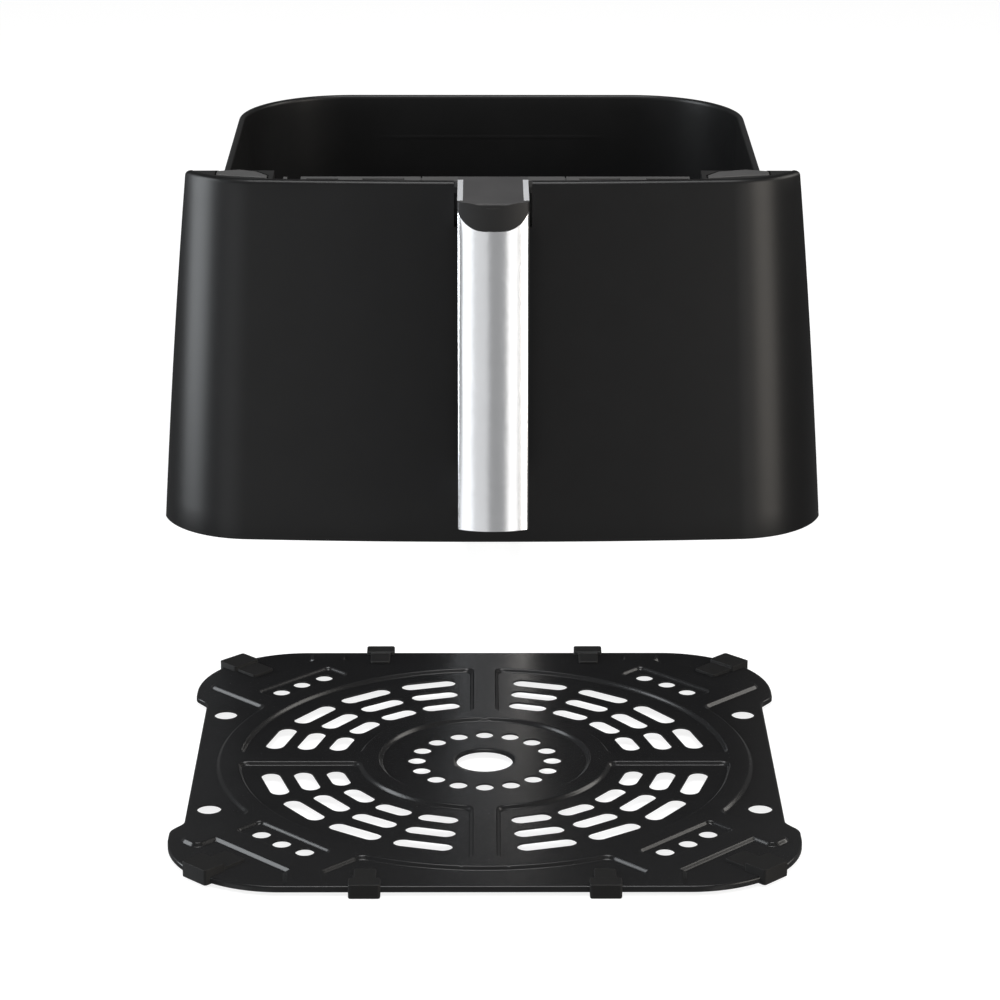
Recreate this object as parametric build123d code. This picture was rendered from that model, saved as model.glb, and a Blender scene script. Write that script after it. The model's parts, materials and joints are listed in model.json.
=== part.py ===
# Drawer of a table-top air fryer with its perforated crisper plate, in millimetres.
#
# +Z is up. The user stands on the -Y side and pulls the handle towards -Y. The origin is the
# middle of the basket's flat bottom, on the surface that the drawer stands on. The crisper plate
# lies on the same surface in front of the drawer, taken out of the basket.

import os
from math import cos, radians, sin

from build123d import *

# --- driving dimensions -------------------------------------------------------------------------

# basket: a deep-drawn coated sheet-steel pan
RIM_W = 249.7            # over the rolled rim, left to right
RIM_D = 253.4            # over the rolled rim, front to back
RIM_Z = 145.0            # top of the rim
RIM_R = 54.2             # corner radius of the rim in plan
RIM_ROLL = 3.0           # height of the rolled rim
RIM_OUT = 2.0            # how far the rolled rim stands out from the wall
SHEET = 1.0              # sheet thickness
DRAFT = 3.0              # how much the walls lean in, on each side, from rim to floor
FLOOR_R = 9.0            # outer bend between floor and wall

# front cover: a moulded shell, wider at the bottom than at the top
COVER_W = 302.0          # bottom width of the full outline, before the rear is cut off
COVER_TOP_W = 285.5      # the same at the top
COVER_BELLY = 0.15       # how much the sides swell out at mid height
COVER_H = 162.5
COVER_Y = -150.85        # its bottom front edge, on the centre line
COVER_LEAN = 13.75       # how far the front leans back from bottom to top
COVER_R = 43.0           # corner radius in plan at the bottom
COVER_TOP_R = 40.0
COVER_BOW = 6.9          # bow of the front face over the full width
COVER_T = 2.8            # wall
COVER_BACK = COVER_Y + 35.95  # plane where the side returns end
COVER_LIP = 12.0         # width of the inward lip along the bottom
COVER_LIP_T = 2.5
SIDE = 200.0             # beyond the cover on every side, for cutting blocks

# handle
BAR_W = 31.0
BAR_OUT = 39.5           # crest of the bar, measured out from the cover
BAR_GAP = 24.0           # finger gap between the cover and the back of the bar
BAR_CROWN = 3.5          # rise of the crowned front over the bar's width
BAR_EDGE = 1.6           # rounding between the crowned front and the sides
BAR_BOTTOM = 18.0        # height of the bar's lower end
SHELL_T = 2.4
INNER = BAR_W / 2 - SHELL_T   # half width inside the shell
TOP_Z = 162.3            # level top of handle cap, vent strip and frame flange
CAP_T = 3.0
NECK_Z = 144.0           # underside of the neck that joins bar and cover
FOOT_Z = 33.0            # top of the foot that joins bar and cover at the lower end
BAR_LAP = 3.0            # how far neck and foot reach into the bar
NOTCH_W = 34.5           # notch in the cover for the neck
NOTCH_Z = NECK_Z - 1.5
BAR_ROUND = 2.2          # rounding of the bar's upper front edge in side view
SCOOP_DEPTH = 12.2       # how far the U-shaped scoop in the silver shell reaches down
SCOOP_R = 12.0           # its two lower corners

# inner frame, shield and bracket, stacked behind one another
PANEL_Y = COVER_Y + 18.45 # front face of the frame's panel
PANEL_T = 2.4
PANEL_BACK = PANEL_Y + PANEL_T
PANEL_HALF = 126.0
PANEL_FOOT = 4.0         # lower edge of the panel
RIB_T = 1.8
RIB_DEPTH = 3.5
FRAME_GAP = 0.3          # clearance between the frame and the cover
SHIELD_T = 0.6
SHIELD_HALF = 104.0
SHIELD_Z = (10.0, 146.0)
BRACKET_T = 1.6
BRACKET_W = 90.0
BRACKET_Z = (40.0, 110.0)
BRACKET_FOOT = 12.0      # width of each riveted foot
STRIP_BACK = COVER_Y + 24.45  # back edge of vent strip and handle cap
STRIP_X = (-84.7, 86.7)
STRIP_SLOTS = [(-82, -68), (-57.5, -39), (38, 56), (67.5, 86)]
SLOT_Y = (COVER_Y + 18.25, COVER_Y + 20.85)
SEAMS = (-31.5, 32)
SEAM = (0.6, 0.6)        # width and depth of the two grooves across the strip
WEB_Z = TOP_Z - 6.0      # underside of the strip's web and top of the frame's panel
TAB_X = (-92.3, -90.6)
TAB_Y = (COVER_Y + 19.05, COVER_Y + 23.45)
TAB_RISE = 0.7
SHOULDER_OUT = 122.5     # outer end of the corner pads
SHOULDER_IN = {-1: 99.6, 1: 94.9}   # inner end on the left and on the right
SHOULDER_Y = (COVER_Y + 21.95, COVER_Y + 37.75)
SHOULDER_H = 5.0
SHOULDER_RISE = 2.0      # how far the corner pads stand above the level top
SHOULDER_T = 1.8
SHELF_IN = {-1: 97.0, 1: 92.4}      # inner end of the frame's corner shelves
SHELF_T = 6.0

# fasteners
SCREW_R = 1.95           # M4 screws, drawn at core diameter
SCREW_HEAD = (3.6, 2.0)  # radius and height
BOSS_R = 4.0
HANDLE_SCREW_R = 2.4     # M5 screws
HANDLE_HEAD = (4.0, 2.4)
HANDLE_BITE = 16.0       # how far short of the cover's face plane a handle screw ends
RIVET_R = 2.0
RIVET_HEAD = (3.6, 4.0)  # radius outside and inside the basket
COVER_SCREWS = [(x, z, 8.0) for x in (-86, 86) for z in (24, 92)] + [(-70, 134, 5.2), (70, 134, 5.2)]
FRAME_SCREWS = [(x, z) for x in (-30, 30) for z in (52, 98)]
FRAME_SCREW_L = 6.0
RIVETS = [(x, z) for x in (-51, 51) for z in (54, 96)]
HANDLE_SCREWS = [(0, 25), (0, 150)]
WALL_Y = -RIM_D / 2 + RIM_OUT + 2.0      # basket's front wall, about half way up
WALL_SPAN = (WALL_Y - 8, WALL_Y + 9)
PANEL_SPAN = (PANEL_Y - 6, PANEL_Y + 8)

# crisper plate and its silicone bumpers
PLATE_X = -4.0           # where the plate lies
PLATE_Y = COVER_Y - 262.45
PLATE_Z = 2.8            # underside of the sheet above the surface
PLATE_W = 228.7
PLATE_D = 229.4
PLATE_R = 42.3
PLATE_T = 0.8
EDGE_TURN = 1.4          # how far the edge is turned down below the sheet's underside
RECESS = 4.8             # depth of the recess in each side
RECESS_SPAN = (57.5, 67.0)   # half length of the recess at its bottom and at its mouth
RECESS_R = 6.0
EMBOSS = 1.5             # height of the pressed ring and cross
RING = (93.1, 100.8)     # radii of the pressed outer ring
HUB = (39.8, 47.4)       # radii of the pressed inner ring
CROSS = 4.5              # half width of the pressed cross
LIFT_HOLE_R = 10.7
SMALL_HOLE_R = 3.5
HUB_HOLES = (25.7, 16)   # ring of round holes: radius and number
SLOT_RINGS = [(81.4, 19.4, 22.3, 7.3), (69.4, 19.0, 19.0, 7.3), (57.4, 18.5, 15.4, 7.1)]
SIDE_HOLE = (101.3, 46.3, 4.5)
CORNER_HOLES = [(80.7, 69.9), (73.0, 78.2), (64.4, 85.4)]
BUMPER_X = 42.3          # edge bumpers, left and right of the centre line
BUMPER_W = 11.3
BUMPER_IN = 4.0          # how far their thick part reaches in over the sheet
BUMPER_OUT = 2.8         # how far they stand out from the sheet
BUMPER_H = 5.4           # they stand on the surface
BUMPER_TONGUE = (13.4, 7.8)   # reach and width of the flat tongue that grips the sheet
CLIP_W = 12.6            # corner bumpers
CLIP_IN = 8.0
CLIP_OUT = 1.8
CLIP_H = 5.8
CLIP_TONGUE = (18.2, 10.4)
CLIP_Z = {"rear": 0.0, "front": 0.9}   # how far they are pushed up from the surface
CLIP_ANGLES = {"rear_right": 45.3, "rear_left": 134.7, "front_left": 225.3, "front_right": 314.7}
TONGUE_T = 1.1           # thickness of a tongue above and below the sheet
BUMPER_EDGE = 1.0        # rounding of their upright edges
LEVEL = Plane.XY

# --- shared helpers -----------------------------------------------------------------------------


def block(x, y, z):
    """A box between two corners, given as (low, high) pairs."""
    size = (x[1] - x[0], y[1] - y[0], z[1] - z[0])
    middle = ((x[0] + x[1]) / 2, (y[0] + y[1]) / 2, (z[0] + z[1]) / 2)
    return Pos(*middle) * Box(*size)


def rod_y(x, z, radius, y):
    """A cylinder along Y from y[0] to y[1]."""
    return Plane((x, y[0], z), z_dir=(0, 1, 0)) * Cylinder(
        radius, y[1] - y[0], align=(Align.CENTER, Align.CENTER, Align.MIN))


def both(low, high):
    """A (low, high) pair in rising order."""
    return (min(low, high), max(low, high))


def face_y(z):
    """Y of the cover's outer front face on the centre line at height z."""
    return COVER_Y + COVER_LEAN * z / COVER_H


def save(part, name):
    """Writes one node and prints its volume."""
    part.label = name
    export_step(part, f"parts/{name}.step")
    print(f"{name:26s} solids {len(part.solids()):2d}  volume {part.volume:10.1f}")


def screw(x, z, head_y, length, radius, head, towards):
    """A pan-head screw along Y with a socket. towards is -1 when its tip points to -Y."""
    head_radius, head_height = head
    tip = head_y + towards * length
    back = head_y - towards * head_height
    shank = rod_y(x, z, radius, both(head_y, tip))
    disc = rod_y(x, z, head_radius, both(head_y, back))
    socket = rod_y(x, z, head_radius * 0.35, both(back, back + towards * head_height * 0.6))
    return shank + disc - socket


# --- basket -------------------------------------------------------------------------------------


def basket_section(level, shrink):
    """Rounded outline of the pan's wall at one height, moved in by shrink."""
    lean = DRAFT * (1 - level / RIM_Z) + RIM_OUT + shrink
    sketch = RectangleRounded(RIM_W - 2 * lean, RIM_D - 2 * lean, RIM_R - lean)
    return LEVEL.offset(level) * sketch


def pan_solid(shrink, floor):
    """The pan's filled shape, from its floor to the rim."""
    return loft([basket_section(floor, shrink), basket_section(RIM_Z, shrink)], ruled=True)


def make_basket():
    outer = pan_solid(0, 0)
    outer = fillet(outer.faces().sort_by(Axis.Z)[0].edges(), FLOOR_R)
    inner = pan_solid(SHEET, SHEET)
    inner = fillet(inner.faces().sort_by(Axis.Z)[0].edges(), FLOOR_R - SHEET)
    rim_outline = RectangleRounded(RIM_W, RIM_D, RIM_R)
    rim = extrude(LEVEL.offset(RIM_Z - RIM_ROLL) * rim_outline, RIM_ROLL)
    rim = fillet(rim.faces().sort_by(Axis.Z)[-1].edges(), RIM_ROLL * 0.45)
    pan = outer + rim - inner
    for x, z in RIVETS:
        pan -= rod_y(x, z, RIVET_R, WALL_SPAN)
    return pan


# --- front cover --------------------------------------------------------------------------------


def cover_section(share, inset):
    """Plan outline of the cover at a share of its height, moved in by inset."""
    belly = COVER_BELLY * 4 * share * (1 - share)
    half = COVER_W / 2 + (COVER_TOP_W - COVER_W) / 2 * share + belly - inset
    front = COVER_Y + COVER_LEAN * share + inset
    radius = COVER_R + (COVER_TOP_R - COVER_R) * share - inset
    rear = COVER_BACK + 1.5 * COVER_R
    sides = front + COVER_BOW
    bow = ThreePointArc((-half, sides), (0, front), (half, sides))
    box = Polyline((half, sides), (half, rear), (-half, rear), (-half, sides))
    outline = make_face(Curve() + [bow, box])
    corners = outline.vertices().sort_by(Axis.Y)[:2]
    return LEVEL.offset(COVER_H * share) * fillet(corners, radius)


def cover_solid(inset):
    """Filled shape of the cover, cut off at the plane of its side returns."""
    filled = loft([cover_section(share, inset) for share in (0, 0.5, 1)])
    return filled & block((-SIDE, SIDE), (-SIDE, COVER_BACK), (-1, COVER_H + 1))


def make_front_cover():
    above_lip = block((-SIDE, SIDE), (-SIDE, COVER_BACK), (COVER_LIP_T, COVER_H + 1))
    cover = cover_solid(0) - (cover_solid(COVER_T) & above_lip) - cover_solid(COVER_LIP)
    cover -= block((-NOTCH_W / 2, NOTCH_W / 2), (-SIDE, COVER_BACK), (NOTCH_Z, COVER_H + 1))
    inside = cover_solid(COVER_T - 0.4)
    for x, z, length in COVER_SCREWS:
        cover += rod_y(x, z, BOSS_R, (COVER_Y, PANEL_Y)) & inside
        cover -= rod_y(x, z, SCREW_R, (PANEL_BACK - length, PANEL_Y))
    low_x, low_z = HANDLE_SCREWS[0]
    return cover - rod_y(low_x, low_z, HANDLE_SCREW_R, (COVER_Y - 1, PANEL_Y))


# --- frame behind the cover ---------------------------------------------------------------------


def shoulder_outline(side, grow=0.0):
    """Plan of the pad that fills the corner between the cover and the basket's rim."""
    outer = SHOULDER_OUT + grow
    inner = SHOULDER_IN[side] - grow
    front = SHOULDER_Y[0] - grow
    rear = SHOULDER_Y[1] + grow
    return make_face(Polyline((side * inner, front), (side * outer, front + 6),
                              (side * outer, rear - 2.8), (side * (outer - 10), rear),
                              (side * (inner + 5), rear - 3.8), (side * inner, rear - 11),
                              close=True))


def shoulder_room():
    """Space inside the cover, let out a little to the rear for the shoulder pads."""
    inside = cover_solid(COVER_T + FRAME_GAP)
    return inside + Pos(0, 3) * inside


def make_shoulder(side):
    """A hollow moulded pad with a rounded top edge."""
    bottom = LEVEL.offset(TOP_Z + SHOULDER_RISE - SHOULDER_H)
    pad = extrude(bottom * shoulder_outline(side), SHOULDER_H)
    hollow = offset(shoulder_outline(side), -SHOULDER_T)
    pad -= extrude(bottom * hollow, SHOULDER_H / 2)
    pad &= shoulder_room()
    return fillet(pad.faces().sort_by(Axis.Z)[-1].edges(), 0.9)


def make_inner_frame():
    room = cover_solid(COVER_T + FRAME_GAP)
    ribs = (PANEL_Y - RIB_DEPTH, PANEL_Y)
    frame = block((-PANEL_HALF, PANEL_HALF), (PANEL_Y, PANEL_BACK), (PANEL_FOOT, WEB_Z)) & room
    for z in (14, 70, 122):
        frame += block((-112, 112), ribs, (z, z + RIB_T)) & room
    for x in (-60, 60):
        frame += block((x - RIB_T / 2, x + RIB_T / 2), ribs, (14, 140)) & room
    low_x, low_z = HANDLE_SCREWS[0]
    frame += rod_y(low_x, low_z, BOSS_R + 0.5, (COVER_Y, PANEL_Y)) & cover_solid(COVER_T)
    for side in (-1, 1):
        frame += make_shelf(side) & room
    for x, z in FRAME_SCREWS + [(x, z) for x, z, length in COVER_SCREWS]:
        frame -= rod_y(x, z, SCREW_R, PANEL_SPAN)
    for x, z in HANDLE_SCREWS:
        frame -= rod_y(x, z, HANDLE_SCREW_R, (COVER_Y, COVER_BACK))
    return frame


def make_shelf(side):
    """Corner shelf of the frame, with a pocket for the shoulder pad and a post under it."""
    span = both(side * SHELF_IN[side], side * 140)
    shelf = block(span, (COVER_Y + 14.45, COVER_BACK), (TOP_Z - SHELF_T, TOP_Z))
    pad_foot = TOP_Z + SHOULDER_RISE - SHOULDER_H
    pocket = extrude(LEVEL.offset(pad_foot) * shoulder_outline(side, 0.6), SHELF_T)
    post = block(both(side * 100, side * 104), (PANEL_Y, PANEL_Y + 4), (TOP_Z - 8, TOP_Z - 5))
    return shelf - pocket + post


def make_vent_strip():
    room = cover_solid(COVER_T)
    plate = block(STRIP_X, (COVER_Y, STRIP_BACK), (TOP_Z - CAP_T, TOP_Z)) & room
    plate -= block((-BAR_W / 2, BAR_W / 2), (COVER_Y, COVER_BACK), (TOP_Z - CAP_T, TOP_Z))
    web = block(STRIP_X, (PANEL_Y, STRIP_BACK), (WEB_Z, TOP_Z - CAP_T)) & room
    strip = plate + web
    for slot in STRIP_SLOTS:
        strip -= block(slot, SLOT_Y, (WEB_Z - 1, TOP_Z + 1))
    width, depth = SEAM
    for x in SEAMS:
        strip -= block((x - width / 2, x + width / 2), (COVER_Y, COVER_BACK), (TOP_Z - depth, TOP_Z + 1))
    return strip


def make_switch_tab():
    return block(TAB_X, TAB_Y, (WEB_Z, TOP_Z + TAB_RISE)) & cover_solid(COVER_T)


def make_heat_shield():
    shield = block((-SHIELD_HALF, SHIELD_HALF), (PANEL_BACK, PANEL_BACK + SHIELD_T), SHIELD_Z)
    for x, z in FRAME_SCREWS:
        shield -= rod_y(x, z, SCREW_R, PANEL_SPAN)
    for x, z, length in COVER_SCREWS:
        shield -= rod_y(x, z, SCREW_HEAD[0] + 0.6, PANEL_SPAN)
    for x, z in HANDLE_SCREWS:
        shield -= rod_y(x, z, HANDLE_HEAD[0] + 0.8, PANEL_SPAN)
    return shield


def make_bracket():
    """Channel whose web lies on the shield and whose two feet are riveted to the basket."""
    front = PANEL_BACK + SHIELD_T
    half = BRACKET_W / 2
    channel = block((-half, half), (front, front + BRACKET_T), BRACKET_Z)
    for side in (-1, 1):
        web = both(side * half, side * (half - BRACKET_T))
        foot = both(side * half, side * (half + BRACKET_FOOT))
        channel += block(web, (front, WALL_Y + 3), BRACKET_Z)
        channel += block(foot, (WALL_Y - 2.9, WALL_Y + 3), BRACKET_Z)
    channel -= pan_solid(0, 0)
    for x, z in FRAME_SCREWS:
        channel -= rod_y(x, z, SCREW_R, PANEL_SPAN)
    for x, z in RIVETS:
        channel -= rod_y(x, z, RIVET_R, WALL_SPAN)
    return channel


def make_rivets(pan, bracket):
    outside_head, inside_head = RIVET_HEAD
    in_pan = block((-SIDE, SIDE), WALL_SPAN, BRACKET_Z) - pan_solid(SHEET, SHEET)
    rivets = Part()
    for x, z in RIVETS:
        rivet = rod_y(x, z, RIVET_R, (WALL_Y - 3, WALL_Y + 2.5))
        rivet += rod_y(x, z, outside_head, (WALL_Y - 4.0, WALL_Y - 2.9))
        rivet += rod_y(x, z, inside_head, (WALL_Y - 1, WALL_Y + 2.8)) - in_pan
        rivets += rivet
    return rivets - pan - bracket


# --- handle -------------------------------------------------------------------------------------


def bar_section(half, inset, edge_radius):
    """Plan of the bar: flat back, straight sides and crowned front, relative to the cover."""
    crest = -(BAR_OUT - inset)
    edge = crest + BAR_CROWN
    front = ThreePointArc((-half, edge), (0, crest), (half, edge))
    rest = Polyline((half, edge), (half, -BAR_GAP), (-half, -BAR_GAP), (-half, edge))
    section = make_face(Curve() + [front, rest])
    if edge_radius:
        section = fillet(section.vertices().sort_by(Axis.Y)[:2], edge_radius)
    return section


def bar_prism(half, inset, low, high, edge_radius=0.0):
    """The bar's section swept up along the lean of the cover between two heights."""
    start = LEVEL.offset(low) * Pos(0, face_y(low)) * bar_section(half, inset, edge_radius)
    slope = Vector(0, COVER_LEAN, COVER_H).normalized()
    return extrude(start, (high - low) / slope.Z, dir=slope)


def neck_block(x, rear):
    """The level arm between the top of the bar and the frame."""
    return block(x, (face_y(TOP_Z) - BAR_GAP - BAR_LAP, rear), (NECK_Z, TOP_Z))


def foot_block(x):
    """The level arm between the foot of the bar and the cover's face."""
    return block(x, (face_y(0) - BAR_GAP - BAR_LAP, PANEL_Y), (BAR_BOTTOM, FOOT_Z)) - cover_solid(0)


def rounded_top():
    """The space that the rounded upper front edge of the handle leaves."""
    front = face_y(TOP_Z) - BAR_OUT
    middle = (front + BAR_ROUND, TOP_Z - BAR_ROUND)
    square = block((-BAR_W, BAR_W), (front - 1, middle[0]), (middle[1], TOP_Z + 1))
    rod = Plane((-BAR_W, *middle), z_dir=(1, 0, 0)) * Cylinder(
        BAR_ROUND, 2 * BAR_W, align=(Align.CENTER, Align.CENTER, Align.MIN))
    return square - rod


def scoop():
    """Prism above the U-shaped upper edge of the silver shell, as deep as its front wall."""
    half = BAR_W / 2 + 0.5
    low = TOP_Z - SCOOP_DEPTH
    outline = make_face(Polyline((-half, low), (half, low), (half, TOP_Z + 5), (-half, TOP_Z + 5),
                                 close=True))
    outline = fillet(outline.vertices().sort_by(Axis.Y)[:2], SCOOP_R)
    front = face_y(TOP_Z) - BAR_OUT
    slab = block((-BAR_W, BAR_W), (front - 6, front + BAR_CROWN + SHELL_T), (low - 1, TOP_Z + 6))
    return extrude(Plane.XZ * outline, SIDE) & slab


def make_handle_shell(core):
    """Silver outer skin: the bar's front and sides, and the sides of neck and foot."""
    shell = bar_prism(BAR_W / 2, 0, BAR_BOTTOM, TOP_Z, BAR_EDGE)
    for side in (-1, 1):
        wall = both(side * INNER, side * BAR_W / 2)
        shell += neck_block(wall, PANEL_Y) + foot_block(wall)
    shell -= bar_prism(INNER, SHELL_T, BAR_BOTTOM - 1, TOP_Z + 5)
    shell -= block((-INNER, INNER), (face_y(0) - BAR_GAP, COVER_BACK), (0, TOP_Z + 5))
    return shell - scoop() - rounded_top() - core


def make_handle_core():
    """C-shaped moulding that fills the shell and reaches to the cover and the frame."""
    wide = (-INNER, INNER)
    core = bar_prism(INNER, SHELL_T, BAR_BOTTOM, TOP_Z - CAP_T)
    core += neck_block(wide, PANEL_Y) - block(wide, (-SIDE, SIDE), (TOP_Z - CAP_T, TOP_Z))
    core += foot_block(wide)
    core -= scoop() + rounded_top()
    for x, z in HANDLE_SCREWS:
        core -= rod_y(x, z, HANDLE_SCREW_R, (face_y(z) - HANDLE_BITE, COVER_BACK))
    return core


def make_handle_cap(shell, core):
    """Black top piece: level top plate with a front face that fills the shell's scoop."""
    bar = bar_prism(BAR_W / 2, 0, NECK_Z, TOP_Z, BAR_EDGE)
    front = bar & scoop()
    lid = (TOP_Z - CAP_T, TOP_Z)
    plate = block((-INNER, INNER), (face_y(TOP_Z) - BAR_OUT, PANEL_Y), lid) & (
        bar + neck_block((-INNER, INNER), PANEL_Y))
    plate += block((-BAR_W / 2, BAR_W / 2), (PANEL_Y, STRIP_BACK), lid)
    return front + plate - rounded_top() - shell - core


# --- crisper plate ------------------------------------------------------------------------------


def recess(side):
    """Shallow trapezoid cut out of one side of the plate."""
    edge = side * PLATE_W / 2
    bottom, mouth = RECESS_SPAN
    return make_face(Polyline((edge - side * RECESS, -bottom), (edge - side * RECESS, bottom),
                              (edge, mouth), (edge + side * RECESS, mouth),
                              (edge + side * RECESS, -mouth), (edge, -mouth), close=True))


def plate_outline():
    """Outline of the sheet: rounded square with a shallow recess in each side."""
    outline = RectangleRounded(PLATE_W, PLATE_D, PLATE_R) - recess(-1) - recess(1)
    steps = [v for v in outline.vertices() if RECESS_SPAN[0] - 1 < abs(v.Y) < RECESS_SPAN[1] + 1]
    return fillet(steps, RECESS_R)


def polar(radius, degrees):
    """A point at a radius, turned counter-clockwise from +X."""
    return Pos(radius * cos(radians(degrees)), radius * sin(radians(degrees)))


def plate_holes():
    """Lift hole, ring of round holes, three rings of slots and the small holes near the edge."""
    holes = Circle(LIFT_HOLE_R)
    radius, count = HUB_HOLES
    for i in range(count):
        holes += polar(radius, 360 / count * i) * Circle(SMALL_HOLE_R)
    for quadrant in range(4):
        middle = 45 + 90 * quadrant
        for radius, step, length, width in SLOT_RINGS:
            for place in (-1.5, -0.5, 0.5, 1.5):
                angle = middle + place * step
                holes += polar(radius, angle) * Rot(Z=angle + 90) * SlotOverall(length, width)
    x_side, y_side, r_side = SIDE_HOLE
    for sx in (-1, 1):
        for sy in (-1, 1):
            holes += Pos(sx * x_side, sy * y_side) * Circle(r_side)
            for x, y in CORNER_HOLES:
                holes += Pos(sx * x, sy * y) * Circle(SMALL_HOLE_R)
    return holes


def raised_areas(grow):
    """Pressed ring, inner ring and cross, as a plan."""
    rings = Circle(RING[1] + grow) - Circle(RING[0] - grow)
    rings += Circle(HUB[1] + grow) - Circle(HUB[0] - grow)
    reach = 2 * (RING[0] + 2)
    bar = 2 * (CROSS + grow)
    cross = Rectangle(reach, bar) + Rectangle(bar, reach)
    return rings + (cross - Circle(HUB[0] + 3))


def turned_edge():
    """The sheet's edge, turned down all the way round."""
    outline = plate_outline()
    band = outline - offset(outline, -PLATE_T)
    return extrude(LEVEL.offset(-EDGE_TURN) * band, EDGE_TURN)


def make_crisper_plate():
    sheet = extrude(LEVEL * plate_outline(), PLATE_T) + turned_edge()
    sheet += extrude(LEVEL.offset(PLATE_T) * raised_areas(0), EMBOSS)
    sheet -= extrude(LEVEL * raised_areas(-PLATE_T), EMBOSS)
    sheet -= extrude(LEVEL.offset(-1) * plate_holes(), PLATE_T + EMBOSS + 2)
    return Pos(PLATE_X, PLATE_Y, PLATE_Z) * sheet


def gripping_clip(edge, reach_in, reach_out, width, height, tongue, low):
    """A silicone clip that points along +X, gripping a sheet whose edge is at x = edge."""
    tongue_reach, tongue_width = tongue
    body = block((edge - reach_in, edge + reach_out), (-width / 2, width / 2), (low, low + height))
    body = fillet(body.edges().filter_by(Axis.Z), BUMPER_EDGE)
    grip = block((edge - tongue_reach, edge - reach_in + BUMPER_EDGE),
                 (-tongue_width / 2, tongue_width / 2),
                 (PLATE_Z - TONGUE_T, PLATE_Z + PLATE_T + TONGUE_T))
    return body + fillet(grip.edges().filter_by(Axis.Z).sort_by(Axis.X)[:2], BUMPER_EDGE)


def make_edge_bumper(x, side, sheet):
    """Silicone clip over the front or back edge."""
    clip = gripping_clip(PLATE_D / 2, BUMPER_IN, BUMPER_OUT, BUMPER_W, BUMPER_H, BUMPER_TONGUE, 0.0)
    return Pos(PLATE_X + x, PLATE_Y) * Rot(Z=90 * side) * clip - sheet


def make_corner_bumper(angle, low, sheet):
    """Silicone clip over a rounded corner, standing out along the diagonal."""
    corner = (PLATE_W + PLATE_D) / 4 * 2 ** 0.5 - PLATE_R * (2 ** 0.5 - 1)
    clip = gripping_clip(corner, CLIP_IN, CLIP_OUT, CLIP_W, CLIP_H, CLIP_TONGUE, low)
    return Pos(PLATE_X, PLATE_Y) * Rot(Z=angle) * clip - sheet


# --- the assembly -------------------------------------------------------------------------------


def make_drawer():
    pan = make_basket()
    bracket = make_bracket()
    core = make_handle_core()
    shell = make_handle_shell(core)
    save(pan, "basket")
    save(bracket, "basket_bracket")
    save(make_rivets(pan, bracket), "bracket_rivets")
    save(make_heat_shield(), "heat_shield")
    save(make_inner_frame(), "inner_frame")
    save(make_vent_strip(), "top_vent_strip")
    save(make_shoulder(-1), "left_shoulder")
    save(make_shoulder(1), "right_shoulder")
    save(make_switch_tab(), "switch_tab")
    save(make_front_cover(), "front_cover")
    save(core, "handle_core")
    save(shell, "handle_shell")
    save(make_handle_cap(shell, core), "handle_cap")


def make_screws():
    screws = Part()
    for x, z, length in COVER_SCREWS:
        screws += screw(x, z, PANEL_BACK, length, SCREW_R, SCREW_HEAD, -1)
    save(screws, "cover_screws")
    screws = Part()
    for x, z in FRAME_SCREWS:
        screws += screw(x, z, PANEL_Y, FRAME_SCREW_L, SCREW_R, SCREW_HEAD, 1)
    save(screws, "frame_screws")
    screws = Part()
    for x, z in HANDLE_SCREWS:
        length = PANEL_BACK - face_y(z) + HANDLE_BITE
        screws += screw(x, z, PANEL_BACK, length, HANDLE_SCREW_R, HANDLE_HEAD, -1)
    save(screws, "handle_screws")


def make_plate_set():
    sheet = make_crisper_plate()
    save(sheet, "crisper_plate")
    for side, row in ((-1, "front"), (1, "rear")):
        for x, hand in ((-BUMPER_X, "left"), (BUMPER_X, "right")):
            save(make_edge_bumper(x, side, sheet), f"edge_bumper_{row}_{hand}")
    for name, angle in CLIP_ANGLES.items():
        low = CLIP_Z[name.split("_")[0]]
        save(make_corner_bumper(angle, low, sheet), f"corner_bumper_{name}")


os.makedirs("parts", exist_ok=True)
make_drawer()
make_screws()
make_plate_set()
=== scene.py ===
# Looks of the air fryer drawer and its crisper plate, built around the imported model.
# Everything is in metres, in the frame of the part: +Z up, handle towards -Y, origin under the basket.

import json
from math import asin, atan2, ceil, cos, pi, radians, sin, sqrt

import bmesh
import bpy
import numpy as np
from mathutils import Matrix, Vector
from mathutils.geometry import delaunay_2d_cdt


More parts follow.
